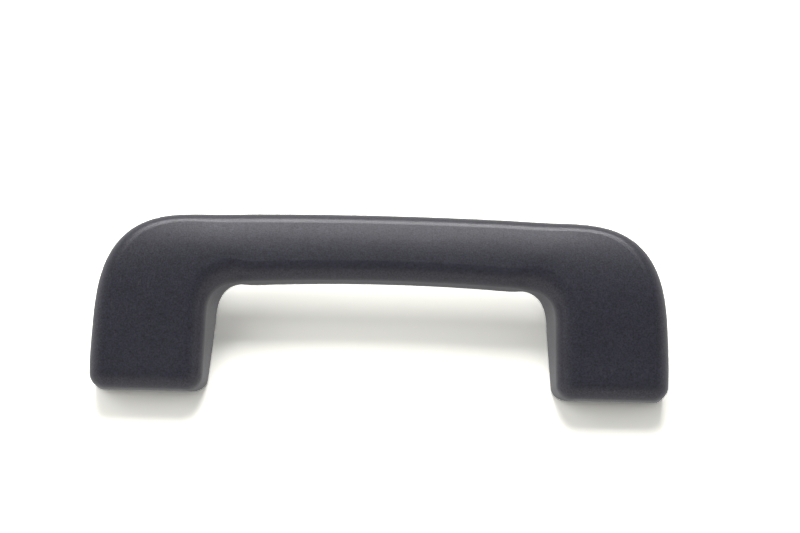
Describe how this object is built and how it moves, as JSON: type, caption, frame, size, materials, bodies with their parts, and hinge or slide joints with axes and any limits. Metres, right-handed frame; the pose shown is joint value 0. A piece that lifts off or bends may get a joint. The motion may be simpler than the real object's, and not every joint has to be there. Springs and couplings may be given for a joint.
{
  "type": "roof grab handle",
  "caption": "Dark U-shaped roof grab handle with a hollow moulded grip that folds down on two sprung, damped roof bases.",
  "frame": {"origin": "midway between the two roof screw holes, in the plane where the bases meet the roof panel", "axes": "+X along the handle, +Y from the hinges towards the grip bar, +Z out of the roof panel"},
  "size_m": [0.2376, 0.0743, 0.0393],
  "materials": {
    "grip_plastic": "fine grain, soft-touch",
    "cover_plastic": "fine grain",
    "base_plastic": "moulded, satin",
    "cap_plastic": "moulded, satin",
    "damper_plastic": "smooth",
    "bush_plastic": "smooth, natural",
    "pin_steel": "ground",
    "sleeve_steel": "zinc plated",
    "spring_steel": "drawn wire, oiled",
    "buffer_rubber": "smooth",
    "seal_rubber": "smooth"
  },
  "bodies": {
    "roof_mounts": {"left_base": "base_plastic", "left_outer_bush": "bush_plastic", "left_inner_bush": "bush_plastic", "left_screw_sleeve": "sleeve_steel", "left_screw_cap": "cap_plastic", "left_stop_buffer": "buffer_rubber", "right_base": "base_plastic", "right_outer_bush": "bush_plastic", "right_inner_bush": "bush_plastic", "right_screw_sleeve": "sleeve_steel", "right_screw_cap": "cap_plastic", "right_stop_buffer": "buffer_rubber", "torsion_spring": "spring_steel", "damper_housing": "damper_plastic", "damper_cap": "damper_plastic", "damper_seal": "seal_rubber"},
    "grip": {"grip_shell": "grip_plastic", "grip_back_cover": "cover_plastic", "left_outer_pin": "pin_steel", "left_inner_pin": "pin_steel", "right_outer_pin": "pin_steel", "right_inner_pin": "pin_steel", "spring_spool": "bush_plastic", "damper_rotor": "bush_plastic"}
  },
  "joints": [
    {"name": "grip_fold", "type": "hinge", "parent": "roof_mounts", "child": "grip", "pos_m": [0, -0.022, 0.0128], "axis": [1, 0, 0], "range_deg": [0, 80], "stiffness_Nm_per_rad": 0.14, "springref_deg": -29.79, "deforming": ["torsion_spring"]}
  ]
}
